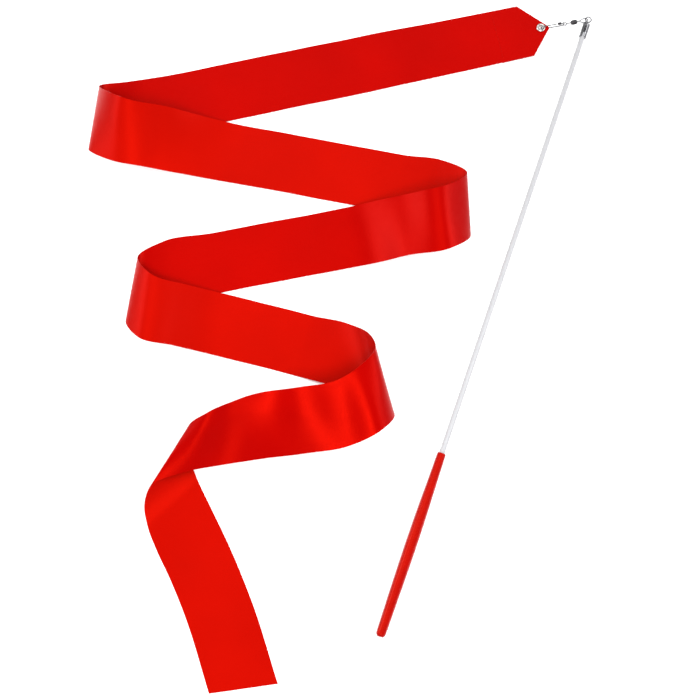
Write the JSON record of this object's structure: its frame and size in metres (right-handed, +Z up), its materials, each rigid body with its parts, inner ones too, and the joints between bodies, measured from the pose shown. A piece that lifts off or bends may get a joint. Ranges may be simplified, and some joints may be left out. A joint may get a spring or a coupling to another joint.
{
  "type": "rhythmic ribbon wand",
  "caption": "Gymnastics ribbon wand lying flat: zigzag-folded satin ribbon with an eyelet, wire snap and barrel swivel on a slim rod with a rounded grip.",
  "frame": {"origin": "middle of the footprint, on the surface that the object lies on", "axes": "+Z up from the surface, +Y from the ribbon's free end towards the wand's tip, +X from the ribbon towards the wand"},
  "size_m": [0.3679, 0.4986, 0.0314],
  "materials": {
    "satin": "satin ribbon",
    "bright_steel": "polished",
    "dark_steel": "dark plated",
    "rod_white": "glass-fibre reinforced, smooth",
    "grip_red": "smooth moulded"
  },
  "bodies": {
    "ribbon": {"ribbon_tip": "satin", "ribbon_hem": "satin", "ribbon_run_1": "satin", "ribbon_run_2": "satin", "ribbon_run_3": "satin", "ribbon_run_4": "satin", "ribbon_run_5": "satin", "ribbon_run_6": "satin", "ribbon_turn_1": "satin", "ribbon_turn_2": "satin", "ribbon_turn_3": "satin", "ribbon_turn_4": "satin", "ribbon_turn_5": "satin", "eyelet_front": "bright_steel", "eyelet_washer": "bright_steel"},
    "snap": {"snap_wire": "bright_steel", "snap_collar": "dark_steel"},
    "gate": {"snap_gate": "bright_steel"},
    "link_eye": {"swivel_link_eye": "bright_steel"},
    "barrel": {"swivel_barrel": "dark_steel"},
    "wand_eye": {"swivel_wand_eye": "bright_steel"},
    "wand": {"tip_eye": "bright_steel", "tip_ferrule": "bright_steel", "rod": "rod_white", "grip": "grip_red"}
  },
  "joints": [
    {"name": "snap_swing", "type": "hinge", "parent": "ribbon", "child": "snap", "pos_m": [0.1455, 0.2305, 0.00265], "axis": [0, 0, 1], "range_deg": [-3, 45]},
    {"name": "gate_open", "type": "hinge", "parent": "snap", "child": "gate", "pos_m": [0.15788, 0.23286, 0.00455], "axis": [-0.1874, 0.9823, 0], "range_deg": [0, 25], "stiffness_Nm_per_rad": 0.002},
    {"name": "swivel_lift", "type": "hinge", "parent": "snap", "child": "link_eye", "pos_m": [0.16328, 0.23389, 0.00265], "axis": [-0.757, -0.6534, 0], "range_deg": [0, 20]},
    {"name": "barrel_spin", "type": "hinge", "parent": "link_eye", "child": "barrel", "pos_m": [0.17025, 0.23522, 0.00265], "axis": [-0.9823, -0.1874, 0], "continuous": true},
    {"name": "wand_eye_spin", "type": "hinge", "parent": "barrel", "child": "wand_eye", "pos_m": [0.17251, 0.23565, 0.00265], "axis": [-0.9823, -0.1874, 0], "continuous": true},
    {"name": "wand_swing", "type": "hinge", "parent": "wand_eye", "child": "wand", "pos_m": [0.18101, 0.23727, 0.00265], "axis": [0, 0, 1], "range_deg": [-2, 90]}
  ]
}
